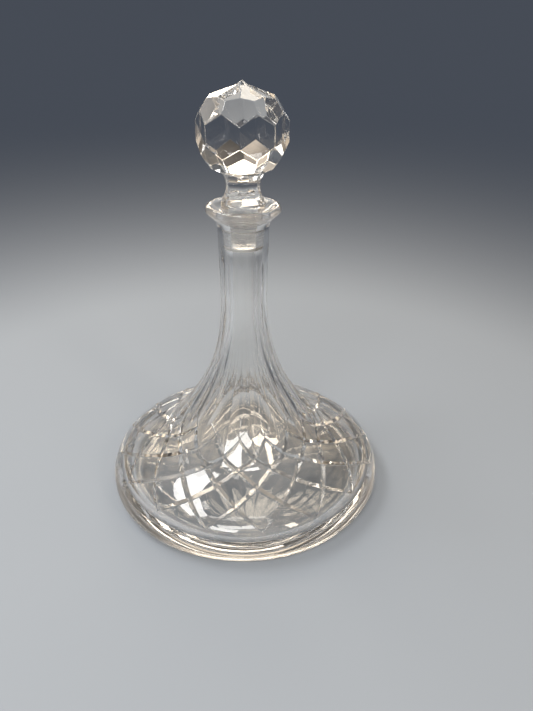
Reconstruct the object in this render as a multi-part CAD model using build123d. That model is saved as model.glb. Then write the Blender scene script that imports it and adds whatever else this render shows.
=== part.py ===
"""Ship's decanter in cut crystal: a broad flat-bottomed bottle and its ground-in ball stopper.

Millimetres, +Z up. The origin is the centre of the base, on the surface that the decanter stands on.
Azimuths are in degrees, from the front (-Y) towards the right (+X).
"""
import os
from math import cos, radians, sin

from build123d import *

# Driving dimensions of the bottle
BASE_RADIUS = 95.0
RIM_HEIGHT = 10.0        # height of the widest point above the table
FOOT_RADIUS = 85.0       # outer edge of the flat ring that the bottle stands on
RECESS_RADIUS = 70.0     # shallow hollow ground into the underside
RECESS_DEPTH = 1.0
FLOOR_THICKNESS = 9.0
CAVITY_RADIUS = 74.0     # flat part of the inside floor
BORE_RADIUS = 7.3        # plain bore of the neck

# Saucer lip, as (radius, height) corners from under its rim to the funnel
LIP_UNDER = (21.8, 196.0)
LIP_UNDER_PULLS = ((15.9, 191.5), (18.2, 192.6))
LIP_SIDE = (22.8, 198.0)
LIP_CREST = (20.4, 200.6)
DISH_EDGE = (13.5, 196.3)
DISH_PULLS = ((18.4, 200.6), (16.5, 197.2))
FUNNEL_PULLS = ((10.9, 195.5), (8.59, 192.0))

# Outer outline as two cubic curves: rim to shoulder, shoulder to neck
SHOULDER = (53.7, 46.1)
NECK = (14.8, 142.0)
FLARE_ANGLE = 131.8      # direction of the outline at the shoulder
RIM_PULL, SHOULDER_IN, SHOULDER_OUT, NECK_PULL = 23.8, 18.3, 39.2, 41.3
NECK_TOP = (15.8, 186.0)

# Inner outline
INNER_RIM = (84.0, 15.6)
INNER_RIM_PULLS = ((82.0, 9.0), (84.0, 12.0))
INNER_SHOULDER = (49.6, 41.9)
INNER_NECK = (BORE_RADIUS, 138.0)
INNER_PULLS = (14.0, 16.0, 33.0, 44.0)

# Ground joint between the plug and the bore
JOINT_SLOPE = 0.05
JOINT_CLEARANCE = 0.06
PLUG_BOTTOM = 175.4
PLUG_END_RADIUS = 7.45
GROUND_BOTTOM, GROUND_TOP = 173.0, 187.0

# Stopper
COLLAR_RADIUS = 13.5
COLLAR_BOTTOM, COLLAR_TOP = 197.9, 202.0
COLLAR_EDGE = 1.7        # rounding of the collar's rim
PLUG_CHAMFER = 1.0
BALL_CENTRE = 242.0
APEX_HEIGHT = 26.6       # tip of the ball above its centre
TIP_DEPTH = 4.0          # height of the small point, part of it sunk in the ball
TIP_RADIUS = 5.5
EQUATOR_FACET = (0.0, 24.6)      # latitude of the facet and its distance from the centre
SHOULDER_FACET = (33.0, 25.44)
CROWN_FACET = (70.0, 23.75)
WAIST_SECTIONS = (       # height and corner radius, from inside the collar to inside the ball
    (201.5, 13.4),
    (203.7, 12.5),
    (206.0, 11.3),
    (208.5, 10.4),
    (211.0, 10.05),
    (213.5, 10.2),
    (216.0, 10.9),
    (218.0, 11.9),
    (220.5, 13.45),
    (223.5, 15.2),
)
STOPPER_SIDES = 8
STOPPER_AZIMUTH = -3.6   # azimuth of a waist edge

# Cut decoration of the bottle
FLUTES = 16
LATTICE_AZIMUTH = -16.5  # azimuth of a flute ridge and of a point of the lattice
FLUTE_RATIO = 0.045      # flute depth on the shoulder, as a share of the radius
NECK_FLUTE_RATIO = 0.0225
FLUTE_BLEND = (50.0, 100.0)      # heights between which the flutes grow shallower
FLUTE_HEIGHTS = (175.0, 164.0, 153.0, 142.0, 120.0, 100.0, 82.0, 68.0, 57.0, 49.0)
LATTICE_RADII = (42.5, 50.6, 56.0, 65.3, 77.2, 89.6)   # the rows where the mitre cuts cross
MITRE_DEPTH = 1.4
MITRE_WIDTH = 3.4
MITRE_STATIONS = ((0.0, 0.15), (0.5, 0.8), (1.5, 1.0), (3.5, 1.0), (4.5, 0.8), (5.0, 0.15))
PITCH = 360.0 / FLUTES
LAST_ROW = len(LATTICE_RADII) - 1


def polar(radius, azimuth, height):
    """A point at a radius, azimuth and height."""
    return Vector(radius * sin(radians(azimuth)), -radius * cos(radians(azimuth)), height)


def offset_point(point, angle, distance):
    """The outline point at a distance along an angle."""
    return (point[0] + distance * cos(radians(angle)), point[1] + distance * sin(radians(angle)))


def outer_curves():
    """Control points of the two cubic curves of the outer outline, from the rim up."""
    rim = (BASE_RADIUS, RIM_HEIGHT)
    lower = (
        rim,
        offset_point(rim, 90, RIM_PULL),
        offset_point(SHOULDER, FLARE_ANGLE, -SHOULDER_IN),
        SHOULDER,
    )
    upper = (
        SHOULDER,
        offset_point(SHOULDER, FLARE_ANGLE, SHOULDER_OUT),
        offset_point(NECK, 90, -NECK_PULL),
        NECK,
    )
    return lower, upper


def bezier_point(curve, t):
    """The point of a cubic curve at parameter t."""
    weights = ((1 - t) ** 3, 3 * t * (1 - t) ** 2, 3 * t * t * (1 - t), t**3)
    return tuple(sum(w * p[axis] for w, p in zip(weights, curve)) for axis in (0, 1))


def point_where(axis, value):
    """The outer outline's point whose radius (axis 0) or height (axis 1) is the value."""
    for curve in outer_curves():
        ends = sorted((curve[0][axis], curve[3][axis]))
        if ends[0] <= value <= ends[1]:
            low, high = (0.0, 1.0) if curve[0][axis] < curve[3][axis] else (1.0, 0.0)
            for _ in range(50):
                middle = (low + high) / 2
                below = bezier_point(curve, middle)[axis] < value
                low, high = (middle, high) if below else (low, middle)
            return bezier_point(curve, low)
    share = (value - NECK[1]) / (NECK_TOP[1] - NECK[1])
    return (NECK[0] + share * (NECK_TOP[0] - NECK[0]), value)


def revolve_outline(edges):
    """The solid of revolution of a closed outline in the XZ plane."""
    return revolve(Face(Wire([Plane.XZ * edge for edge in edges])), Axis.Z)


def bottle_blank():
    """The bottle's outside before the neck is fluted, with the lip's dished top and no cavity."""
    lower, upper = outer_curves()
    foot = (FOOT_RADIUS, 0)
    recess_middle = (RECESS_RADIUS / 2, RECESS_DEPTH * 0.75)
    recess_edge = (RECESS_RADIUS, 0)
    funnel = (ground_radius(GROUND_TOP), GROUND_TOP)
    edges = [
        ThreePointArc((0, RECESS_DEPTH), recess_middle, recess_edge),
        Line(recess_edge, foot),
        ThreePointArc(foot, offset_point((FOOT_RADIUS, RIM_HEIGHT), -45, RIM_HEIGHT), lower[0]),
        Bezier(*lower),
        Bezier(*upper),
        Line(NECK, NECK_TOP),
        Bezier(NECK_TOP, *LIP_UNDER_PULLS, LIP_UNDER),
        Bezier(LIP_UNDER, (LIP_SIDE[0], (LIP_UNDER[1] + LIP_SIDE[1]) / 2), LIP_SIDE),
        Bezier(LIP_SIDE, (LIP_SIDE[0], LIP_CREST[1]), LIP_CREST),
        Bezier(LIP_CREST, *DISH_PULLS, DISH_EDGE),
        Bezier(DISH_EDGE, *FUNNEL_PULLS, funnel),
        Line(funnel, (0, GROUND_TOP)),
        Line((0, GROUND_TOP), (0, RECESS_DEPTH)),
    ]
    return revolve_outline(edges)


def ground_radius(height):
    """Radius of the bore's ground taper."""
    return PLUG_END_RADIUS + JOINT_SLOPE * (height - PLUG_BOTTOM) + JOINT_CLEARANCE


def cavity():
    """The space inside: the ground taper, the neck's bore, the flare and the wide chamber."""
    floor_edge = (CAVITY_RADIUS, FLOOR_THICKNESS)
    step = (BORE_RADIUS, GROUND_BOTTOM - 1)
    ground_start = (ground_radius(GROUND_BOTTOM), GROUND_BOTTOM)
    mouth = (ground_radius(LIP_CREST[1]), LIP_CREST[1])
    rim_pull, shoulder_in, shoulder_out, neck_pull = INNER_PULLS
    edges = [
        Line((0, FLOOR_THICKNESS), floor_edge),
        Bezier(floor_edge, *INNER_RIM_PULLS, INNER_RIM),
        Bezier(
            INNER_RIM,
            offset_point(INNER_RIM, 90, rim_pull),
            offset_point(INNER_SHOULDER, FLARE_ANGLE, -shoulder_in),
            INNER_SHOULDER,
        ),
        Bezier(
            INNER_SHOULDER,
            offset_point(INNER_SHOULDER, FLARE_ANGLE, shoulder_out),
            offset_point(INNER_NECK, 90, -neck_pull),
            INNER_NECK,
        ),
        Line(INNER_NECK, step),
        Line(step, ground_start),
        Line(ground_start, mouth),
        Line(mouth, (0, mouth[1])),
        Line((0, mouth[1]), (0, FLOOR_THICKNESS)),
    ]
    return revolve_outline(edges)


def flute_ratio(height):
    """Flute depth as a share of the radius: nothing at both ends, and shallower up the neck."""
    if height in (FLUTE_HEIGHTS[0], FLUTE_HEIGHTS[-1]):
        return 0.0
    low, high = FLUTE_BLEND
    t = min(max((height - low) / (high - low), 0.0), 1.0)
    return FLUTE_RATIO + (NECK_FLUTE_RATIO - FLUTE_RATIO) * t * t * (3 - 2 * t)


def flute_section(height):
    """Cross-section of the fluted neck: one hollow arc per flute, ridges on the outline's radius."""
    radius = point_where(1, height)[0]
    middle = radius * (1 - flute_ratio(height))
    arcs = []
    for k in range(FLUTES):
        azimuth = LATTICE_AZIMUTH + PITCH * k
        arcs.append(
            ThreePointArc(
                polar(radius, azimuth, height),
                polar(middle, azimuth + PITCH / 2, height),
                polar(radius, azimuth + PITCH, height),
            )
        )
    return Wire(arcs)


def fluted_neck():
    """The neck and flare between the lip and the shoulder, with their hollow flutes."""
    return Solid.make_loft([flute_section(height) for height in reversed(FLUTE_HEIGHTS)])


def lattice_radius(row):
    """Radius of the lattice at a row number, which may lie between two rows."""
    k = min(int(row), LAST_ROW - 1)
    return LATTICE_RADII[k] + (row - k) * (LATTICE_RADII[k + 1] - LATTICE_RADII[k])


def mitre_point(row, start, hand):
    """A point of a mitre cut's line on the outline: radius, azimuth and height."""
    radius, height = point_where(0, lattice_radius(row))
    return polar(radius, start + hand * PITCH / 2 * row, height)


def surface_normal(row, azimuth):
    """The outward normal of the bottle's outside at a lattice row."""
    radius = lattice_radius(row)
    low, high = point_where(0, radius + 0.2), point_where(0, radius - 0.2)
    run, rise = low[0] - high[0], high[1] - low[1]
    return (polar(rise, azimuth, 0) + Vector(0, 0, run)).normalized()


def mitre_cut(start, hand):
    """The V-shaped tool of one mitre cut, which slants across the lattice and tapers at both ends."""
    sections = []
    for row, share in MITRE_STATIONS:
        azimuth = start + hand * PITCH / 2 * row
        middle = mitre_point(row, start, hand)
        ahead, behind = min(row + 0.05, LAST_ROW), row - 0.05
        along = mitre_point(ahead, start, hand) - mitre_point(behind, start, hand)
        normal = surface_normal(row, azimuth)
        across = normal.cross(along.normalized())
        depth, half_width = MITRE_DEPTH * share, MITRE_WIDTH / 2 * share
        wide, high = across * half_width * 2, normal * depth
        triangle = [middle - normal * depth, middle + high + wide, middle + high - wide]
        sections.append(Wire.make_polygon(triangle, close=True))
    return Solid.make_loft(sections, ruled=True)


def mitre_cuts(hand):
    """The mitre cuts that slant one way, one from each point of the lattice's top row."""
    return [mitre_cut(LATTICE_AZIMUTH + PITCH * (k + 0.5), hand) for k in range(FLUTES)]


def decanter_body():
    """The bottle: blank, flutes, cavity and lattice."""
    blank = bottle_blank()
    top, bottom = FLUTE_HEIGHTS[0], FLUTE_HEIGHTS[-1]
    band = Pos(0, 0, (top + bottom) / 2) * Cylinder(BASE_RADIUS, top - bottom)
    bottle = blank - band + fluted_neck() - cavity()
    return bottle.cut(*mitre_cuts(-1)).cut(*mitre_cuts(1))


def corner(row_a, offset_a, row_b, offset_b):
    """Radius and height of the point where two facet rows meet, in one meridian.

    A row is a latitude and a distance from the centre; an offset is the azimuth from the meridian
    to the middle of that row's facet, in degrees.
    """
    a = cos(radians(row_a[0])) * cos(radians(offset_a))
    b = sin(radians(row_a[0]))
    c = cos(radians(row_b[0])) * cos(radians(offset_b))
    d = sin(radians(row_b[0]))
    scale = a * d - b * c
    return ((row_a[1] * d - b * row_b[1]) / scale, (a * row_b[1] - c * row_a[1]) / scale)


def facet(points):
    """A flat facet through (radius, height, azimuth) corners about the ball's centre."""
    corners = [polar(r, STOPPER_AZIMUTH + azimuth, BALL_CENTRE + h) for r, h, azimuth in points]
    return Face(Wire.make_polygon(corners, close=True))


def ball():
    """The ball: rows of eight facets, mirrored above and below the equator."""
    half = 180.0 / STOPPER_SIDES
    side = corner(EQUATOR_FACET, half, SHOULDER_FACET, 0)      # equator's upright edge
    peak = corner(EQUATOR_FACET, 0, SHOULDER_FACET, half)      # equator hexagon's point
    upper = corner(SHOULDER_FACET, half, CROWN_FACET, 0)       # top of the upright shoulder edge
    crest = corner(SHOULDER_FACET, 0, CROWN_FACET, half)       # shoulder hexagon's upper point
    crown = (0.0, CROWN_FACET[1] / sin(radians(CROWN_FACET[0])))
    facets = []
    for k in range(STOPPER_SIDES):
        a = 2 * half * k
        b, c = a + half, a + 2 * half
        facets.append(
            facet(
                [
                    (side[0], side[1], a),
                    (side[0], -side[1], a),
                    (peak[0], -peak[1], b),
                    (side[0], -side[1], c),
                    (side[0], side[1], c),
                    (peak[0], peak[1], b),
                ]
            )
        )
        for sign in (1, -1):
            facets.append(
                facet(
                    [
                        (side[0], sign * side[1], a),
                        (peak[0], sign * peak[1], b),
                        (upper[0], sign * upper[1], b),
                        (crest[0], sign * crest[1], a),
                        (upper[0], sign * upper[1], a - half),
                        (peak[0], sign * peak[1], a - half),
                    ]
                )
            )
            facets.append(
                facet(
                    [
                        (upper[0], sign * upper[1], b),
                        (crest[0], sign * crest[1], a),
                        (crown[0], sign * crown[1], 0),
                        (crest[0], sign * crest[1], c),
                    ]
                )
            )
    return Solid(Shell(facets))


def octagon(radius, height):
    """An eight-sided section with its corners on the waist's edges."""
    turn = 360.0 / STOPPER_SIDES
    corners = [polar(radius, STOPPER_AZIMUTH + turn * k, height) for k in range(STOPPER_SIDES)]
    return Wire.make_polygon(corners, close=True)


def waist():
    """The fluted waist: narrow in the middle, flared to the collar and to the ball."""
    return Solid.make_loft([octagon(radius, height) for height, radius in WAIST_SECTIONS])


def tip():
    """The small eight-sided point on top of the ball."""
    base = BALL_CENTRE + APEX_HEIGHT - TIP_DEPTH
    apex = Vector(0, 0, BALL_CENTRE + APEX_HEIGHT)
    turn = 360.0 / STOPPER_SIDES
    ring = [polar(TIP_RADIUS, STOPPER_AZIMUTH + turn * k, base) for k in range(STOPPER_SIDES)]
    sides = [
        Face(Wire.make_polygon([ring[k - 1], ring[k], apex], close=True))
        for k in range(STOPPER_SIDES)
    ]
    bottom = Face(Wire.make_polygon(ring, close=True))
    return Solid(Shell(sides + [bottom]))


def collar_and_plug():
    """The round collar and the ground plug below it."""
    inner = COLLAR_RADIUS - COLLAR_EDGE
    low, high = COLLAR_BOTTOM + COLLAR_EDGE, COLLAR_TOP - COLLAR_EDGE
    plug_top = PLUG_END_RADIUS + JOINT_SLOPE * (COLLAR_BOTTOM - PLUG_BOTTOM)
    plug_end = (PLUG_END_RADIUS - PLUG_CHAMFER, PLUG_BOTTOM)
    plug_side = (PLUG_END_RADIUS, PLUG_BOTTOM + PLUG_CHAMFER)
    edges = [
        Line((0, PLUG_BOTTOM), plug_end),
        Line(plug_end, plug_side),
        Line(plug_side, (plug_top, COLLAR_BOTTOM)),
        Line((plug_top, COLLAR_BOTTOM), (inner, COLLAR_BOTTOM)),
        Bezier((inner, COLLAR_BOTTOM), (COLLAR_RADIUS, COLLAR_BOTTOM), (COLLAR_RADIUS, low)),
        Line((COLLAR_RADIUS, low), (COLLAR_RADIUS, high)),
        Bezier((COLLAR_RADIUS, high), (COLLAR_RADIUS, COLLAR_TOP), (inner, COLLAR_TOP)),
        Line((inner, COLLAR_TOP), (0, COLLAR_TOP)),
        Line((0, COLLAR_TOP), (0, PLUG_BOTTOM)),
    ]
    return revolve_outline(edges)


def stopper():
    """The whole stopper in one piece of glass."""
    return ball() + tip() + waist() + collar_and_plug()


def main():
    os.makedirs("parts", exist_ok=True)
    for node, shape in (("decanter_body", decanter_body()), ("stopper", stopper())):
        print(node, "valid", shape.is_valid, "volume", round(shape.volume), shape.bounding_box())
        export_step(shape, f"parts/{node}.step")


main()
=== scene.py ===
"""Looks of a cut-crystal ship's decanter and its ball stopper.

Metres, +Z up, azimuths counted from -Y towards +X.
"""

from math import cos, pi, radians, sin, sqrt, tan

import bmesh
import bpy
import numpy as np
from mathutils import Matrix, Vector


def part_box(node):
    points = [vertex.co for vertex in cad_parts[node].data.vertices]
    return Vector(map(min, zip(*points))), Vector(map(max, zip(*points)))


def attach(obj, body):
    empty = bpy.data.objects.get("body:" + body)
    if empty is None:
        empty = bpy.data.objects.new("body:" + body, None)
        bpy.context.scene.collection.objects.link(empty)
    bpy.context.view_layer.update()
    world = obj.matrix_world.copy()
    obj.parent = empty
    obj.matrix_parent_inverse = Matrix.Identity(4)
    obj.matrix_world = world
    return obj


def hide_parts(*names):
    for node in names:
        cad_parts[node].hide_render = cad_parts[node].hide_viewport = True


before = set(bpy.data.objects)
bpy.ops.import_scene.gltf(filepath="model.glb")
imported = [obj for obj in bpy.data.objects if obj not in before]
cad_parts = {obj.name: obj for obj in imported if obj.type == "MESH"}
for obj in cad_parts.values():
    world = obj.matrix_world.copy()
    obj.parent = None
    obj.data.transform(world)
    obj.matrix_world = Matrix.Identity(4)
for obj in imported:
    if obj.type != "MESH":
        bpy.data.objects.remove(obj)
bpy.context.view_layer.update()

# ---------------------------------------------------------------- sizes of the bottle
BASE_RADIUS = 0.0950
RIM_HEIGHT = 0.0100
FOOT_RADIUS = 0.0850
RECESS_RADIUS = 0.0700
RECESS_DEPTH = 0.0010
FLOOR_THICKNESS = 0.0090
CAVITY_RADIUS = 0.0740
BORE_RADIUS = 0.0073
HUB_RADIUS = 0.0040      # the smallest ring of the mesh, around the middle of a flat
STANDING_RINGS = (0.0702, 0.0725, 0.0775, 0.0825, 0.0848)   # across the ring that it stands on

# Outer outline: rim to shoulder, shoulder to neck
SHOULDER = (0.0537, 0.0461)
NECK = (0.0148, 0.1420)
NECK_TOP = (0.0158, 0.1860)
FLARE_ANGLE = 131.8
RIM_PULL, SHOULDER_IN, SHOULDER_OUT, NECK_PULL = 0.0238, 0.0183, 0.0392, 0.0413

# Inner outline
INNER_RIM = (0.0840, 0.0156)
INNER_RIM_PULLS = ((0.0840, 0.0120), (0.0820, FLOOR_THICKNESS))
INNER_SHOULDER = (0.0496, 0.0419)
INNER_NECK = (BORE_RADIUS, 0.1380)
INNER_RIM_PULL, INNER_SHOULDER_IN, INNER_SHOULDER_OUT, INNER_NECK_PULL = 0.014, 0.016, 0.033, 0.044

# Ground joint
STOPPER_LOW, STOPPER_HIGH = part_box("stopper")
JOINT_SLOPE = 0.05
JOINT_CLEARANCE = 0.00006
PLUG_BOTTOM = STOPPER_LOW.z
PLUG_END_RADIUS = 0.00745
PLUG_CHAMFER = 0.0010
PLUG_HUB = 0.0010        # the smallest ring of the plug's end
GROUND_BOTTOM, GROUND_TOP = 0.1752, 0.1870
GROUND_EDGE = 0.0010     # width of the bright band at each end of the frosted zone
JOINT_STEP = (BORE_RADIUS, GROUND_BOTTOM - 0.0010)

# Saucer lip, as (radius, height) from under its rim to the funnel
LIP_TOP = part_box("decanter_body")[1].z
LIP_UNDER = (0.0218, 0.1960)
LIP_UNDER_PULLS = ((0.0159, 0.1915), (0.0182, 0.1926))
LIP_SIDE = (0.0228, 0.1980)
LIP_SIDE_PULL = (0.0228, 0.1968)
LIP_CREST = (0.0204, LIP_TOP)
LIP_CREST_PULL = (0.0228, LIP_TOP)
DISH_EDGE = (0.0135, 0.1963)
DISH_PULLS = ((0.0184, LIP_TOP), (0.0165, 0.1972))
FUNNEL_PULLS = ((0.0109, 0.1955), (0.00859, 0.1920))

# Cut decoration
FLUTES = 16
PITCH = 2 * pi / FLUTES
LATTICE_AZIMUTH = radians(-16.5)
LATTICE_RADII = (0.0425, 0.0506, 0.0560, 0.0653, 0.0772, 0.0896)
LAST_ROW = len(LATTICE_RADII) - 1
FLUTE_RATIO = 0.045      # flute depth on the shoulder, as a share of the radius
NECK_FLUTE_RATIO = 0.0225
FLUTE_BLEND = (0.050, 0.100)    # heights between which the flutes grow shallower
FLUTE_FADE = (0.1640, 0.1750)   # heights between which the flutes run out under the lip
FLUTE_START = (0.8, -0.8)       # lattice rows between which the flutes grow to full depth
MITRE_DEPTH = 0.0014
MITRE_WIDTH = 0.0034
MITRE_EDGE = 0.08        # softening of a cut's edges, as a share of its half width
MITRE_ROWS = (-0.1, 0.0, 0.5, 1.5, 3.5, 4.5, 5.0, 5.1)      # places along a cut, in rows
MITRE_SHARES = (0, 0.15, 0.8, 1, 1, 0.8, 0.15, 0)           # and how full the cut is there
MITRE_LEAST = 0.15       # share of the width that the mesh keeps at the ends of a cut
LINES_OUT_ABOVE = (0.0, -0.8)                               # rows between which the mesh lines
LINES_OUT_BELOW = (LAST_ROW, LAST_ROW + 0.4)                # spread out evenly again

# Steps of the bottle's mesh
STEPS = 14               # columns across one pitch
RING_PITCHES = np.arange(FLUTES * STEPS) / STEPS
RECESS_RINGS = 16
RIM_STEPS = 47
WORN_STEPS = 4           # steps of the rim that are worn by standing
FLUTED_STEPS = 49
RUN_OUT_STEPS = 13
LIP_STEPS = (14, 5, 10, 16, 16)
JOINT_STEPS = 5
INNER_STEPS = (10, 46, 22, 22, 14)
SIDE_SAMPLES = (100, 600, 800, 200)     # points of the outline that the rings are read from

# ---------------------------------------------------------------- sizes of the stopper
STOPPER_SIDES = 8
STOPPER_TURN = 2 * pi / STOPPER_SIDES
SIDE_STEPS = 8           # mesh columns across one side
WAIST_STEPS = 4          # between each two points of the waist
COLLAR_STEPS = (6, 2, 6, 3, 4)
PLUG_STEPS = 10
STOPPER_AZIMUTH = radians(-3.6)
BALL_CENTRE = 0.2420
EQUATOR_FACET = (0.0, 0.0246)   # each row of facets: latitude and distance from the centre
SHOULDER_FACET = (radians(33.0), 0.02544)
CROWN_FACET = (radians(70.0), 0.02375)
LOWER_CROWN_FACET = (radians(70.0), 0.02480)
FACET_BEVEL = 0.00030
TIP_SLOPE = 0.79         # rise of the small point, as a share of the way in to the axis
COLLAR_RADIUS = 0.0135
COLLAR_BOTTOM, COLLAR_TOP = 0.1979, 0.2020
COLLAR_EDGE = 0.0007
COLLAR_FILLET = 0.0008
COLLAR_ROUNDING = 5      # steps in which the eight-sided waist turns into the round collar
WAIST = (                # (corner radius, height) down the waist, from the ball to the collar
    (0.01345, 0.2205),
    (0.0119, 0.2180),
    (0.0109, 0.2160),
    (0.0102, 0.2135),
    (0.01005, 0.2110),
    (0.0104, 0.2085),
    (0.0113, 0.2060),
    (0.0125, 0.2037),
    (0.0131, 0.2025),
)

# ---------------------------------------------------------------- finishes and light
CLEAR, CUT, GROUND, WORN, BAND = range(5)       # material numbers of the bottle
FACET = 3                                       # the stopper has clear, cut, ground and this one
BOTTLE_CREASE, STOPPER_CREASE = radians(18), radians(14)
GLASS_IOR = 1.545
GLASS_TINT = (0.995, 0.993, 0.985)
FINISHES = {             # roughness, scratches, depth and scale of the waviness, veil, rings
    "clear_crystal": (0.0, 0.01, 0.000003, 34.0, (0.0, 0.03), 1.0),
    "cut_crystal": (0.0, 0.02, 0.000003, 42.0, (0.0, 0.06), 1.0),
    "ground_glass": (0.20, 0.15, 0.00002, 160.0, (0.06, 0.18), 10.0),
    "worn_foot": (0.0, 0.03, 0.000003, 300.0, (0.0, 0.03), 1.0),
    "ground_edge": (0.3, 0.1, 0.00001, 160.0, (0.8, 0.97), 10.0),
    "polished_facets": (0.0, 0.015, 0.000008, 90.0, (0.0, 0.012), 1.0),
}
POLISH_NOISE, VEIL_NOISE = (0.45, 0.75), (0.42, 0.72)       # the noise values that each runs over
SHADOW_BLEND = 0.35
SHADOW_LIGHT = (0.93, 0.2)                      # the light that a wall passes, face on and edge on
FLOOR_COLOUR = (0.31, 0.345, 0.395)
FLOOR_ROUGHNESS, FLOOR_SPECULAR = 0.9, 0.1
FLOOR_REACH = 4.0
FLOOR_HEIGHT = -0.0003
FLOOR_NEARNESS = (3.2, 0.4)                     # 1 / distance between which the floor fades into its painted shade
HORIZON = (0.062, 0.072, 0.092)
SKY = (                  # (rise of the view, colour) of the surroundings, from the horizon up
    (0.05, HORIZON),
    (0.32, (0.48, 0.39, 0.29)),
    (0.5, (0.70, 0.57, 0.42)),
    (0.72, (0.14, 0.13, 0.12)),
    (0.9, (0.05, 0.05, 0.055)),
)
PATCH_SCALE = 2.6
PATCH_EDGES = (0.46, 0.56)
PATCH_STRENGTHS = (0.25, 2.2)
PATCH_RISE = (0.08, 0.2)                        # the patches come in between these rises
CAMERA_DISTANCE, CAMERA_HEIGHT = 3.8503 * BASE_RADIUS, 3.1563 * BASE_RADIUS
CAMERA_YAW, CAMERA_PITCH, CAMERA_ROLL = 0.0401, 0.5049, 0.0084
SENSOR_HEIGHT, LENS = 24.0, 20.871              # in millimetres
GLASS_BOUNCES = 160                             # with far fewer, the rim of the base goes dark
BASE_AIM, BALL_AIM = Vector((0, 0, 0.08)), Vector((0, 0, BALL_CENTRE))
WARM, WHITE = (1.0, 0.88, 0.72), (1.0, 0.98, 0.95)
LAMPS = {                # aimed at, distance, azimuth, elevation, width, height, watts, colour
    "left_box": (BASE_AIM, 1.3, -90, 61, 0.8, 0.3, 10.5, WHITE),
    "left_front_box": (BASE_AIM, 1.3, -22, 41, 0.5, 0.18, 4, WHITE),
    "front_strip": (BASE_AIM, 1.4, -3, 51, 0.8, 0.2, 6, WHITE),
    "right_box": (BASE_AIM, 1.3, 39, 37, 0.14, 0.28, 2.4, WARM),
    "back_box": (BASE_AIM, 1.5, 165, 50, 0.9, 0.3, 3.5, WARM),
    "low_back_box": (BALL_AIM, 1.5, 187, 16, 1.1, 0.13, 3.6, WARM),
    "left_back_box": (BALL_AIM, 1.3, -137, 44, 0.5, 0.4, 4, WARM),
}


# ---------------------------------------------------------------- outlines
def moved(point, out, up):
    """The outline point that lies further out and up than another."""
    return (point[0] + out, point[1] + up)


def pulled(point, angle, distance):
    """The outline point at a distance from another, along an angle in degrees."""
    return moved(point, distance * cos(radians(angle)), distance * sin(radians(angle)))


def curve(points, count):
    """Points along a Bezier curve of any degree, both ends included."""
    t = np.linspace(0, 1, count + 1)[:, None]
    layer = [np.array(p, float) * np.ones_like(t) for p in points]
    while len(layer) > 1:
        layer = [a * (1 - t) + b * t for a, b in zip(layer, layer[1:])]
    return layer[0]


def curves(lines, counts):
    """Several curves, each from its own points and with its own count of steps."""
    return [curve(points, count) for points, count in zip(lines, counts)]


def chain(*pieces):
    """One line of points from pieces that share their end points."""
    return np.vstack([pieces[0]] + [piece[1:] for piece in pieces[1:]])


def quarter(centre, radius, start, stop, count):
    """Points of an arc, with its angles in degrees."""
    angles = np.radians(np.linspace(start, stop, count + 1))
    return np.stack([centre[0] + radius * np.cos(angles), centre[1] + radius * np.sin(angles)], 1)


def soft_line(points, count):
    """A smooth line through points, with count steps between each two."""
    points = np.array(points)
    ends = np.vstack([2 * points[0] - points[1], points, 2 * points[-1] - points[-2]])
    t = np.linspace(0, 1, count + 1)[:, None]
    pieces = []
    for k in range(1, len(ends) - 2):
        a, b, c, d = ends[k - 1 : k + 3]
        slope, bend, twist = c - a, 2 * a - 5 * b + 4 * c - d, 3 * b - a - 3 * c + d
        pieces.append(0.5 * (2 * b + slope * t + bend * t**2 + twist * t**3))
    return chain(*pieces)


def running_length(points):
    """Distance along a line of points."""
    steps = np.hypot(*np.diff(points, axis=0).T)
    return np.concatenate([[0.0], np.cumsum(steps)])


def plug_radius(height):
    """Radius of the plug's ground taper."""
    return PLUG_END_RADIUS + JOINT_SLOPE * (height - PLUG_BOTTOM)


def ground_radius(height):
    """Radius of the bore's ground taper."""
    return plug_radius(height) + JOINT_CLEARANCE


RIM = (BASE_RADIUS, RIM_HEIGHT)
SIDE_LINES = (
    (RIM, pulled(RIM, 90, RIM_PULL), pulled(SHOULDER, FLARE_ANGLE, -SHOULDER_IN), SHOULDER),
    (SHOULDER, pulled(SHOULDER, FLARE_ANGLE, SHOULDER_OUT), pulled(NECK, 90, -NECK_PULL), NECK),
    (NECK, NECK_TOP),
)
SIDE = chain(
    quarter((FOOT_RADIUS, RIM_HEIGHT), RIM_HEIGHT, -90, 0, SIDE_SAMPLES[0]),
    *curves(SIDE_LINES, SIDE_SAMPLES[1:]),
)
SIDE_LENGTH = running_length(SIDE)
SIDE_SLOPE = np.gradient(SIDE, SIDE_LENGTH, axis=0)


def side_at(length):
    """Radius, height and outward normal of the bottle's side at a distance along its outline."""
    radius, height = (np.interp(length, SIDE_LENGTH, SIDE[:, k]) for k in (0, 1))
    run, rise = (np.interp(length, SIDE_LENGTH, SIDE_SLOPE[:, k]) for k in (0, 1))
    size = np.hypot(run, rise)
    return radius, height, rise / size, -run / size


def length_where(radius):
    """Distance along the side at which the shoulder or flare has a radius."""
    upper = (SIDE[:, 1] > RIM_HEIGHT) & (SIDE[:, 1] < NECK[1])
    return float(np.interp(-radius, -SIDE[upper, 0], SIDE_LENGTH[upper]))


ROW_LENGTHS = np.array([length_where(radius) for radius in LATTICE_RADII])
ROW_SLOPES = np.gradient(ROW_LENGTHS)


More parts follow.
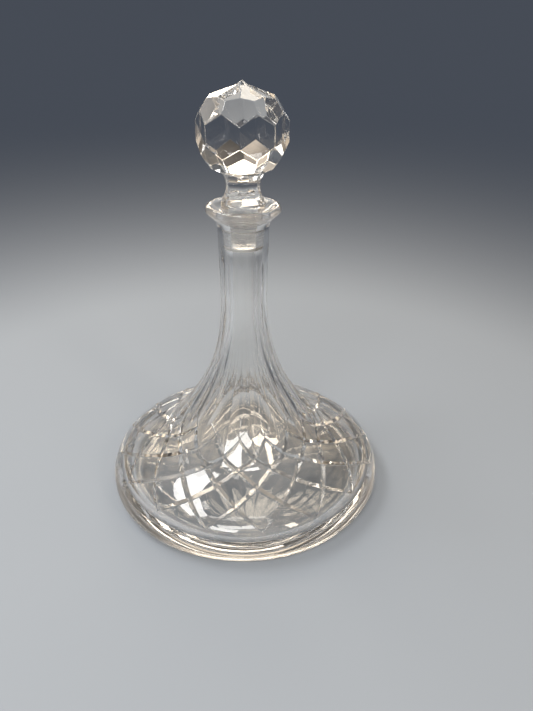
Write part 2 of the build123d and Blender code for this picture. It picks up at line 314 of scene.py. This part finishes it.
def row_length(row):
    """Distance along the side at a lattice row, which may be a fraction or beyond the first or last."""
    row = np.asarray(row, float)
    low = np.clip(np.floor(row).astype(int), 0, LAST_ROW - 1)
    t = np.clip(row - low, 0, 1)
    start, stop = ROW_LENGTHS[low], ROW_LENGTHS[low + 1]
    inside = (
        (2 * t**3 - 3 * t**2 + 1) * start
        + (t**3 - 2 * t**2 + t) * ROW_SLOPES[low]
        + (3 * t**2 - 2 * t**3) * stop
        + (t**3 - t**2) * ROW_SLOPES[low + 1]
    )
    before, after = np.minimum(row, 0), np.maximum(row - LAST_ROW, 0)
    return inside + before * ROW_SLOPES[0] + after * ROW_SLOPES[-1]


def smooth(low, high, value):
    """0 below low, 1 above high and a smooth step between; low may be the larger."""
    t = np.clip((value - low) / (high - low), 0, 1)
    return t * t * (3 - 2 * t)


# ---------------------------------------------------------------- cuts in the bottle's side
def flute_depth(radius, height, pitches, strength):
    """Depth of the hollow flutes, shallower up the neck; pitches counts flutes from a ridge."""
    across = pitches - np.floor(pitches) - 0.5
    ratio = FLUTE_RATIO + (NECK_FLUTE_RATIO - FLUTE_RATIO) * smooth(*FLUTE_BLEND, height)
    return ratio * radius * strength * (1 - 4 * across**2)


def mitre_share(row):
    """How full a mitre cut is along its length: pointed at both ends."""
    return float(np.interp(row, MITRE_ROWS, MITRE_SHARES))


def mitre_half_width(row):
    """Half the width of a mitre cut, in pitches along the ring."""
    half_step = 0.05
    pitch = side_at(row_length(row))[0] * PITCH
    rise = abs(row_length(row + half_step) - row_length(row - half_step)) / (2 * half_step)
    slant = rise / sqrt(rise**2 + pitch**2 / 4)
    return MITRE_WIDTH / 2 * max(mitre_share(row), MITRE_LEAST) / (pitch * slant)


def line_offsets(half_width):
    """Where the mesh lines lie across one pitch, in pitches, from the bottom of the cut at 0."""
    inner, outer = half_width * (1 - MITRE_EDGE), half_width * (1 + MITRE_EDGE)
    walls = [0.0, inner / 2, inner]
    plain = STEPS // 2 - len(walls)
    first = walls + [outer + (0.5 - outer) * k / plain for k in range(plain + 1)]
    return np.array(first + [1 - x for x in reversed(first[1:-1])])


def ring(radius, height, pitches=RING_PITCHES):
    """Points of one ring of the bottle."""
    azimuth = LATTICE_AZIMUTH + PITCH * pitches
    height = np.broadcast_to(height, azimuth.shape)
    return np.stack([radius * np.sin(azimuth), -radius * np.cos(azimuth), height], 1)


def fluted_ring(length):
    """One ring of the flare or neck above the lattice."""
    radius, height, out, up = side_at(length)
    depth = flute_depth(radius, height, RING_PITCHES, 1 - smooth(*FLUTE_FADE, height))
    return ring(radius - out * depth, height - up * depth)


def lattice_ring(step):
    """One ring of the cut zone. Its points lie where the left and right families of lines cross."""
    row = step / STEPS
    half_width = mitre_half_width(row)
    offsets = line_offsets(half_width)
    relax = smooth(*LINES_OUT_ABOVE, row) + smooth(*LINES_OUT_BELOW, row)
    k = np.arange(FLUTES * STEPS)
    right = k // STEPS + offsets[k % STEPS]
    left = (k + step) // STEPS + offsets[(k + step) % STEPS]
    right = right * (1 - relax) + k / STEPS * relax
    left = left * (1 - relax) + (k + step) / STEPS * relax
    pitches = (left + right) / 2 + 0.5
    radius, height, out, up = side_at(row_length(left - right))
    near = np.minimum(np.abs(right - np.round(right)), np.abs(left - np.round(left)))
    depth = MITRE_DEPTH * mitre_share(row) * np.maximum(0, 1 - near / (half_width * (1 + MITRE_EDGE)))
    depth = depth + flute_depth(radius, height, pitches, smooth(*FLUTE_START, row))
    return ring(radius - out * depth, height - up * depth, pitches)


# ---------------------------------------------------------------- mesh building
class Skin:
    """Collects rings of points and the faces between them."""

    def __init__(self):
        self.points = []
        self.faces = []
        self.finish = []
        self.count = 0

    def add(self, points):
        """Add points and give their numbers."""
        points = np.atleast_2d(points)
        self.points.append(points)
        first = self.count
        self.count += len(points)
        return np.arange(first, self.count)

    def face(self, corners, finish):
        self.faces.append([int(c) for c in corners])
        self.finish.append(finish)

    def strip(self, lower, upper, finish):
        """Quads between two rings of equal count."""
        for k in range(len(lower)):
            self.face((lower[k - 1], lower[k], upper[k], upper[k - 1]), finish)

    def sweep(self, last, rings, finish):
        """A wall through one ring of points after another, from the last ring on."""
        for points in rings:
            here = self.add(points)
            self.strip(last, here, finish)
            last = here
        return last

    def cap(self, rim, centre, finish):
        """Triangles from a ring to its centre point."""
        tip = self.add(centre)[0]
        for k in range(len(rim)):
            self.face((rim[k - 1], rim[k], tip), finish)

    def build(self, name, materials, crease):
        """The finished object, smooth except where its faces meet at more than the crease angle."""
        mesh = bpy.data.meshes.new(name)
        mesh.from_pydata([tuple(p) for p in np.vstack(self.points)], [], self.faces)
        mesh.polygons.foreach_set("material_index", self.finish)
        work = bmesh.new()
        work.from_mesh(mesh)
        bmesh.ops.recalc_face_normals(work, faces=work.faces)
        work.to_mesh(mesh)
        work.free()
        for material in materials:
            mesh.materials.append(material)
        mesh.shade_smooth()
        mesh.set_sharp_from_angle(angle=crease)
        piece = bpy.data.objects.new(name, mesh)
        bpy.context.scene.collection.objects.link(piece)
        return piece


# ---------------------------------------------------------------- bottle
def rings_along(outline):
    """Round rings at the points of an outline, except its first, which is already there."""
    return [ring(radius, height) for radius, height in outline[1:]]


def underside(skin):
    """The hollow in the base and the ring that the bottle stands on, out to the foot."""
    recess = np.linspace(HUB_RADIUS, RECESS_RADIUS, RECESS_RINGS)
    rings = [ring(radius, RECESS_DEPTH * (1 - (radius / RECESS_RADIUS) ** 2)) for radius in recess]
    first = skin.add(rings[0])
    last = skin.sweep(first, rings[1:], CLEAR)
    skin.cap(first, (0, 0, RECESS_DEPTH), CLEAR)
    return skin.sweep(last, [ring(radius, 0.0) for radius in STANDING_RINGS], WORN)


def lower_side(skin, last, stop):
    """The rounded rim, from the foot up to the lattice, a little worn at the foot."""
    lengths = np.linspace(0.0, stop, RIM_STEPS + 1)[:-1]
    rings = [ring(*side_at(length)[:2]) for length in lengths]
    last = skin.sweep(last, rings[:WORN_STEPS], WORN)
    return skin.sweep(last, rings[WORN_STEPS:], CLEAR)


def lattice_faces(skin, rows, finish):
    """Triangles of the cut zone: each cell is split so that no crease crosses a triangle."""
    count = FLUTES * STEPS
    for step in sorted(rows):
        here = rows[step]
        above, below = rows.get(step - 1), rows.get(step + 1)
        for k in range(count):
            n = (k + 1) % count
            left, right = here[k], here[n]
            if above is None:
                skin.face((left, below[k], right), finish)
                continue
            if below is None:
                skin.face((left, right, above[n]), finish)
                continue
            top, bottom = above[n], below[k]
            p, q = (k + 0.5) / STEPS, (k + step + 0.5) / STEPS
            if (p - round(p)) * (q - round(q)) < 0:
                skin.face((left, bottom, top), finish)
                skin.face((bottom, right, top), finish)
            else:
                skin.face((left, bottom, right), finish)
                skin.face((left, right, top), finish)


def lattice(skin, last):
    """The cut zone, from half a row below the lattice to one row above it."""
    first_step, last_step = -STEPS, LAST_ROW * STEPS + STEPS // 2
    rows = {step: skin.add(lattice_ring(step)) for step in range(first_step, last_step + 1)}
    skin.strip(last, np.roll(rows[last_step], last_step // 2), CLEAR)
    lattice_faces(skin, rows, CUT)
    return np.roll(rows[first_step], first_step // 2 + STEPS // 2)


def flare_and_neck(skin, last):
    """The fluted flare and neck, with closer rings where the flutes run out."""
    start, stop = float(row_length(-1.0)), SIDE_LENGTH[-1]
    fade = stop - (NECK_TOP[1] - FLUTE_FADE[0])
    fluted = np.linspace(start, fade, FLUTED_STEPS + 1)[1:]
    run_out = np.linspace(fade, stop, RUN_OUT_STEPS + 1)[1:]
    return skin.sweep(last, [fluted_ring(length) for length in (*fluted, *run_out)], CLEAR)


def lip_outline():
    """The saucer lip, from under its rim over the dish and down the funnel to the ground joint."""
    funnel = (ground_radius(GROUND_TOP), GROUND_TOP)
    lines = (
        (NECK_TOP, *LIP_UNDER_PULLS, LIP_UNDER),
        (LIP_UNDER, LIP_SIDE_PULL, LIP_SIDE),
        (LIP_SIDE, LIP_CREST_PULL, LIP_CREST),
        (LIP_CREST, *DISH_PULLS, DISH_EDGE),
        (DISH_EDGE, *FUNNEL_PULLS, funnel),
    )
    return chain(*curves(lines, LIP_STEPS))


def inner_outline():
    """The inside, from the ground joint down the bore and flare to the middle of the floor."""
    neck_pull = pulled(INNER_NECK, 90, -INNER_NECK_PULL)
    above = pulled(INNER_SHOULDER, FLARE_ANGLE, INNER_SHOULDER_OUT)
    below = pulled(INNER_SHOULDER, FLARE_ANGLE, -INNER_SHOULDER_IN)
    rim_pull = pulled(INNER_RIM, 90, INNER_RIM_PULL)
    floor_edge = (CAVITY_RADIUS, FLOOR_THICKNESS)
    lines = (
        (JOINT_STEP, INNER_NECK),
        (INNER_NECK, neck_pull, above, INNER_SHOULDER),
        (INNER_SHOULDER, below, rim_pull, INNER_RIM),
        (INNER_RIM, *INNER_RIM_PULLS, floor_edge),
        (floor_edge, (HUB_RADIUS, FLOOR_THICKNESS)),
    )
    return chain(*curves(lines, INNER_STEPS))


def ground_joint(skin, last):
    """The frosted taper with its two bright edges, and the step from it to the plain bore."""
    stops = (GROUND_TOP, GROUND_TOP - GROUND_EDGE, GROUND_BOTTOM + GROUND_EDGE, GROUND_BOTTOM)
    for upper, lower, finish in zip(stops, stops[1:], (BAND, GROUND, BAND)):
        taper = curve([(ground_radius(upper), upper), (ground_radius(lower), lower)], JOINT_STEPS)
        last = skin.sweep(last, rings_along(taper), finish)
    step = curve([(ground_radius(GROUND_BOTTOM), GROUND_BOTTOM), JOINT_STEP], 2)
    return skin.sweep(last, rings_along(step), BAND)


def build_bottle(materials):
    """The whole bottle as one closed skin of glass."""
    skin = Skin()
    last = underside(skin)
    last = lower_side(skin, last, float(row_length(LAST_ROW + 0.5)))
    last = lattice(skin, last)
    last = flare_and_neck(skin, last)
    last = skin.sweep(last, rings_along(lip_outline()), CLEAR)
    last = ground_joint(skin, last)
    last = skin.sweep(last, rings_along(inner_outline()), CLEAR)
    skin.cap(last, (0, 0, FLOOR_THICKNESS), CLEAR)
    return skin.build("crystal_bottle", materials, BOTTLE_CREASE)


# ---------------------------------------------------------------- stopper
def corner(row_a, offset_a, row_b, offset_b):
    """Radius and height of the point where two facet rows meet, in one meridian."""
    a, b = cos(row_a[0]) * cos(offset_a), sin(row_a[0])
    c, d = cos(row_b[0]) * cos(offset_b), sin(row_b[0])
    scale = a * d - b * c
    return ((row_a[1] * d - b * row_b[1]) / scale, (a * row_b[1] - c * row_a[1]) / scale)


def polar(radius, azimuth, height):
    """A point of the stopper, with its azimuth counted from a waist edge."""
    azimuth += STOPPER_AZIMUTH
    return np.array([radius * sin(azimuth), -radius * cos(azimuth), height])


def eight(radius, offset, rise):
    """Eight points about the axis at a height above the ball's centre."""
    azimuths = [STOPPER_TURN * k + offset for k in range(STOPPER_SIDES)]
    return np.array([polar(radius, azimuth, BALL_CENTRE + rise) for azimuth in azimuths])


def sided_ring(radius, height, roundness):
    """A ring that runs from an octagon, at roundness 0, to a circle, at 1."""
    points = []
    for side in range(STOPPER_SIDES):
        start = polar(radius, side * STOPPER_TURN, height)
        stop = polar(radius, (side + 1) * STOPPER_TURN, height)
        for k in range(SIDE_STEPS):
            share = k / SIDE_STEPS
            flat = start * (1 - share) + stop * share
            bowed = polar(radius, (side + share) * STOPPER_TURN, height)
            points.append(flat * (1 - roundness) + bowed * roundness)
    return np.array(points)


def half_ball(skin, crown, sign):
    """The corners of the ball above (1) or below (-1) its equator, in rows of eight points."""
    half = STOPPER_TURN / 2
    spots = {
        "side": (corner(EQUATOR_FACET, half, SHOULDER_FACET, 0), 0),
        "peak": (corner(EQUATOR_FACET, 0, SHOULDER_FACET, half), half),
        "upper": (corner(SHOULDER_FACET, half, crown, 0), half),
        "crest": (corner(SHOULDER_FACET, 0, crown, half), 0),
    }
    rows = {}
    for name, ((radius, rise), offset) in spots.items():
        rows[name] = skin.add(eight(radius, offset, sign * rise))
    return rows


def tip_corner():
    """Radius and height above the centre at which the small point stands on the crown facets."""
    latitude, distance = CROWN_FACET
    top, slope = distance / sin(latitude), 1 / tan(latitude)
    flat = (STOPPER_HIGH.z - BALL_CENTRE - top) / (TIP_SLOPE - slope)
    return flat / cos(STOPPER_TURN / 2), top - slope * flat


def ball(skin, base):
    """The faceted ball above the ring of points where it meets the waist."""
    high, low = half_ball(skin, CROWN_FACET, 1), half_ball(skin, LOWER_CROWN_FACET, -1)
    tip_radius, tip_rise = tip_corner()
    tip = skin.add(eight(tip_radius, 0, tip_rise))
    point = skin.add((0, 0, STOPPER_HIGH.z))[0]
    for k in range(STOPPER_SIDES):
        n = (k + 1) % STOPPER_SIDES
        left, right = high["side"][k], high["side"][n]
        under_left, under_right = low["side"][k], low["side"][n]
        skin.face((left, under_left, low["peak"][k], under_right, right, high["peak"][k]), FACET)
        for at in (high, low):
            first = (at["side"][k], at["peak"][k], at["upper"][k])
            second = (at["crest"][k], at["upper"][k - 1], at["peak"][k - 1])
            skin.face(first + second, FACET)
        skin.face((high["upper"][k], high["crest"][k], tip[k], tip[n], high["crest"][n]), FACET)
        skin.face((tip[k], tip[n], point), FACET)
        edge = [base[(SIDE_STEPS * k + j) % len(base)] for j in range(SIDE_STEPS + 1)]
        skin.face([low["upper"][k], low["crest"][k]] + edge + [low["crest"][n]], FACET)


def collar_outline():
    """The round collar, from the end of the waist down to the top of the plug."""
    top = (COLLAR_RADIUS, COLLAR_TOP)
    bottom = (COLLAR_RADIUS, COLLAR_BOTTOM)
    high, low = moved(top, 0, -COLLAR_EDGE), moved(bottom, 0, COLLAR_EDGE)
    inner = moved(bottom, -COLLAR_EDGE, 0)
    plug_top = (plug_radius(COLLAR_BOTTOM), COLLAR_BOTTOM)
    fillet_start, fillet_end = moved(plug_top, COLLAR_FILLET, 0), moved(plug_top, 0, -COLLAR_FILLET)
    lines = (
        (WAIST[-1], top, high),
        (high, low),
        (low, bottom, inner),
        (inner, fillet_start),
        (fillet_start, plug_top, fillet_end),
    )
    return chain(*curves(lines, COLLAR_STEPS))


def bevel_facets(mesh):
    """Polish a narrow flat along each edge between two facets of the ball, and keep the facets flat."""
    work = bmesh.new()
    work.from_mesh(mesh)
    edges = [e for e in work.edges if all(f.material_index == FACET for f in e.link_faces)]
    settings = {"offset": FACET_BEVEL, "segments": 2, "profile": 0.5, "clamp_overlap": True}
    bmesh.ops.bevel(work, geom=edges, affect="EDGES", **settings)
    for face in work.faces:
        if face.material_index == FACET:
            face.smooth = False
    work.to_mesh(mesh)
    work.free()


def build_stopper(materials):
    """The stopper as one closed skin: ball, waist, collar and ground plug."""
    skin = Skin()
    waist = [sided_ring(radius, height, 0.0) for radius, height in soft_line(WAIST, WAIST_STEPS)]
    first = skin.add(waist[0])
    last = skin.sweep(first, waist[1:], CLEAR)
    outline = collar_outline()
    collar = [
        sided_ring(radius, height, min(1.0, (n + 1) / COLLAR_ROUNDING))
        for n, (radius, height) in enumerate(outline[1:])
    ]
    last = skin.sweep(last, collar, CLEAR)
    plug_side = (PLUG_END_RADIUS, PLUG_BOTTOM + PLUG_CHAMFER)
    plug = curve([tuple(outline[-1]), plug_side], PLUG_STEPS)[1:]
    last = skin.sweep(last, [sided_ring(radius, height, 1.0) for radius, height in plug], GROUND)
    end = [sided_ring(radius, PLUG_BOTTOM, 1.0) for radius in (PLUG_END_RADIUS - PLUG_CHAMFER, PLUG_HUB)]
    last = skin.sweep(last, end, CLEAR)
    skin.cap(last, (0, 0, PLUG_BOTTOM), CLEAR)
    ball(skin, first)
    piece = skin.build("crystal_stopper", materials, STOPPER_CREASE)
    bevel_facets(piece.data)
    return piece


# ---------------------------------------------------------------- materials
def node(tree, kind, **values):
    """A new node with its inputs set by name."""
    made = tree.nodes.new(kind)
    for name, value in values.items():
        made.inputs[name.replace("_", " ")].default_value = value
    return made


def link(tree, source, target):
    tree.links.new(source, target)


def between(tree, value, start, stop):
    """A node that takes a value from one range to another, given as (low, high), and its result."""
    limits = {"From_Min": start[0], "From_Max": start[1], "To_Min": stop[0], "To_Max": stop[1]}
    made = node(tree, "ShaderNodeMapRange", **limits)
    link(tree, value, made.inputs["Value"])
    return made, made.outputs["Result"]


def mixed(tree, share, first, second, target):
    """Two shaders mixed by a share, which is 0 for the first alone."""
    mix = tree.nodes.new("ShaderNodeMixShader")
    link(tree, share, mix.inputs["Fac"])
    link(tree, first.outputs[0], mix.inputs[1])
    link(tree, second.outputs[0], mix.inputs[2])
    link(tree, mix.outputs[0], target)


def surface_noise(tree, place, scale, detail, roughness):
    """The value of a noise pattern at a place."""
    noise = node(tree, "ShaderNodeTexNoise", Scale=scale, Detail=detail, Roughness=roughness)
    link(tree, place, noise.inputs["Vector"])
    return noise.outputs["Fac"]


def glass(name, roughness, scratches, bump, scale, veil, rings):
    """Clear crystal whose polish varies a little, with a fine waviness. Lamps shine through it.

    The veil is the least and the most light scattered at the surface: a faint haze in smears, or the
    grain of ground glass. Rings above 1 draw that grain out into level rings.
    """
    material = bpy.data.materials.new(name)
    material.use_nodes = True
    tree = material.node_tree
    tree.nodes.clear()
    output = tree.nodes.new("ShaderNodeOutputMaterial")
    shader = node(tree, "ShaderNodeBsdfPrincipled", Base_Color=(*GLASS_TINT, 1), IOR=GLASS_IOR)
    place = tree.nodes.new("ShaderNodeTexCoord")
    drawn = node(tree, "ShaderNodeMapping", Scale=(1, 1, rings))
    link(tree, place.outputs["Object"], drawn.inputs["Vector"])
    smears = surface_noise(tree, drawn.outputs["Vector"], scale, 6.0, 0.65)
    _, polish = between(tree, smears, POLISH_NOISE, (roughness, roughness + scratches))
    link(tree, polish, shader.inputs["Roughness"])
    waves = surface_noise(tree, drawn.outputs["Vector"], scale / 2, 2.0, 0.5)
    relief = node(tree, "ShaderNodeBump", Strength=1.0, Distance=bump)
    link(tree, waves, relief.inputs["Height"])
    link(tree, relief.outputs["Normal"], shader.inputs["Normal"])
    _, clearness = between(tree, smears, VEIL_NOISE, (1.0 - veil[0], 1.0 - veil[1]))
    link(tree, clearness, shader.inputs["Transmission Weight"])
    through = tree.nodes.new("ShaderNodeBsdfTransparent")
    edge = node(tree, "ShaderNodeLayerWeight", Blend=SHADOW_BLEND)
    _, shade = between(tree, edge.outputs["Facing"], (0.0, 1.0), SHADOW_LIGHT)
    link(tree, shade, through.inputs["Color"])
    path = tree.nodes.new("ShaderNodeLightPath")
    mixed(tree, path.outputs["Is Shadow Ray"], shader, through, output.inputs["Surface"])
    return material


def floor_paint():
    """Plain matt pale grey-blue, painted over far from the middle with painted shade: a flat glow of the
    dim horizon colour that stands in for the light falling off.
    """
    material = bpy.data.materials.new("pale_floor")
    material.use_nodes = True
    tree = material.node_tree
    shader = tree.nodes["Principled BSDF"]
    shader.inputs["Base Color"].default_value = (*FLOOR_COLOUR, 1)
    shader.inputs["Roughness"].default_value = FLOOR_ROUGHNESS
    shader.inputs["Specular IOR Level"].default_value = FLOOR_SPECULAR
    # painted shade: far out the floor glows with the flat dim horizon colour in place of its lit paint
    painted_far_shade = node(tree, "ShaderNodeEmission", Color=(*HORIZON, 1))
    place = tree.nodes.new("ShaderNodeTexCoord")
    distance = tree.nodes.new("ShaderNodeVectorMath")
    distance.operation = "LENGTH"
    link(tree, place.outputs["Object"], distance.inputs[0])
    nearness = tree.nodes.new("ShaderNodeMath")
    nearness.operation = "DIVIDE"
    nearness.inputs[0].default_value = 1.0
    link(tree, distance.outputs["Value"], nearness.inputs[1])
    fade, farness = between(tree, nearness.outputs[0], FLOOR_NEARNESS, (0.0, 1.0))
    fade.interpolation_type = "SMOOTHSTEP"
    mixed(tree, farness, shader, painted_far_shade, tree.nodes["Material Output"].inputs["Surface"])
    return material


# ---------------------------------------------------------------- stage
def make_camera():
    """The camera: above the table, looking down on the decanter from the front."""
    yaw, pitch, roll = CAMERA_YAW, CAMERA_PITCH, CAMERA_ROLL
    forward = Vector((sin(yaw) * cos(pitch), cos(yaw) * cos(pitch), -sin(pitch)))
    level = Vector((cos(yaw), -sin(yaw), 0))
    upright = level.cross(forward)
    right = level * cos(roll) + upright * sin(roll)
    up = upright * cos(roll) - level * sin(roll)
    data = bpy.data.cameras.new("camera")
    data.sensor_fit = "VERTICAL"
    data.sensor_height = SENSOR_HEIGHT
    data.lens = LENS
    data.clip_start = 0.01
    camera = bpy.data.objects.new("camera", data)
    turned = Matrix((right, up, -forward)).transposed().to_4x4()
    camera.matrix_world = Matrix.Translation((0, -CAMERA_DISTANCE, CAMERA_HEIGHT)) @ turned
    bpy.context.scene.collection.objects.link(camera)
    bpy.context.scene.camera = camera


def make_floor():
    """A wide pale floor just under the decanter."""
    mesh = bpy.data.meshes.new("floor")
    corners = [(-1, -1), (1, -1), (1, 1), (-1, 1)]
    points = [(x * FLOOR_REACH, y * FLOOR_REACH, FLOOR_HEIGHT) for x, y in corners]
    mesh.from_pydata(points, [], [(0, 1, 2, 3)])
    floor = bpy.data.objects.new("floor", mesh)
    bpy.context.scene.collection.objects.link(floor)
    mesh.materials.append(floor_paint())


def make_world():
    """Surroundings with soft warm patches in the glass; the camera itself sees a plain backdrop."""
    world = bpy.data.worlds.new("studio")
    bpy.context.scene.world = world
    world.use_nodes = True
    tree = world.node_tree
    tree.nodes.clear()
    output = tree.nodes.new("ShaderNodeOutputWorld")
    place = tree.nodes.new("ShaderNodeTexCoord")
    split = tree.nodes.new("ShaderNodeSeparateXYZ")
    link(tree, place.outputs["Generated"], split.inputs[0])
    sky = tree.nodes.new("ShaderNodeBackground")
    ramp = tree.nodes.new("ShaderNodeValToRGB")
    stops = ramp.color_ramp.elements
    for stop, (rise, colour) in zip(stops, (SKY[0], SKY[-1])):
        stop.position = rise
        stop.color = (*colour, 1)
    for rise, colour in SKY[1:-1]:
        stops.new(rise).color = (*colour, 1)
    link(tree, split.outputs["Z"], ramp.inputs[0])
    link(tree, ramp.outputs[0], sky.inputs["Color"])
    patches = surface_noise(tree, place.outputs["Generated"], PATCH_SCALE, 1.0, 0.5)
    _, patch_strength = between(tree, patches, PATCH_EDGES, PATCH_STRENGTHS)
    level, strength = between(tree, split.outputs["Z"], PATCH_RISE, (1.0, 1.0))
    link(tree, patch_strength, level.inputs["To Max"])
    link(tree, strength, sky.inputs["Strength"])
    backdrop = node(tree, "ShaderNodeBackground", Color=(*HORIZON, 1))
    path = tree.nodes.new("ShaderNodeLightPath")
    mixed(tree, path.outputs["Is Camera Ray"], sky, backdrop, output.inputs["Surface"])


def direction(azimuth, elevation):
    """The unit vector towards an azimuth and elevation in degrees."""
    a, e = radians(azimuth), radians(elevation)
    return Vector((sin(a) * cos(e), -cos(a) * cos(e), sin(e)))


def softbox(name, place, target, size, power, colour):
    """A rectangular lamp that faces a point and isn't seen directly."""
    data = bpy.data.lights.new(name, "AREA")
    data.shape = "RECTANGLE"
    data.size, data.size_y = size
    data.energy = power
    data.color = colour
    lamp = bpy.data.objects.new(name, data)
    lamp.location = place
    lamp.rotation_euler = (target - place).to_track_quat("-Z", "Y").to_euler()
    lamp.visible_camera = False
    bpy.context.scene.collection.objects.link(lamp)


def make_lights():
    """Soft studio light: a large box at the left, a strip above the camera and smaller boxes around."""
    for name, (aim, distance, azimuth, elevation, width, height, watts, colour) in LAMPS.items():
        place = aim + distance * direction(azimuth, elevation)
        softbox(name, place, aim, (width, height), watts, colour)


def set_render():
    """Light paths deep enough for stacked glass walls."""
    cycles = bpy.context.scene.cycles
    cycles.max_bounces = GLASS_BOUNCES
    cycles.transmission_bounces = GLASS_BOUNCES
    cycles.glossy_bounces = GLASS_BOUNCES
    cycles.diffuse_bounces = 4
    cycles.transparent_max_bounces = 64
    cycles.caustics_reflective = False
    cycles.caustics_refractive = False
    cycles.sample_clamp_indirect = 6.0
    cycles.use_denoising = True
    bpy.context.scene.view_settings.view_transform = "Standard"


def main():
    clear, cut, ground, worn, band, facets = (glass(name, *FINISHES[name]) for name in FINISHES)
    bottle = build_bottle([clear, cut, ground, worn, band])
    stopper = build_stopper([clear, cut, ground, facets])
    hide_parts("decanter_body")
    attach(bottle, "decanter")
    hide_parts("stopper")
    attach(stopper, "stopper")
    make_camera()
    make_floor()
    make_world()
    make_lights()
    set_render()


main()
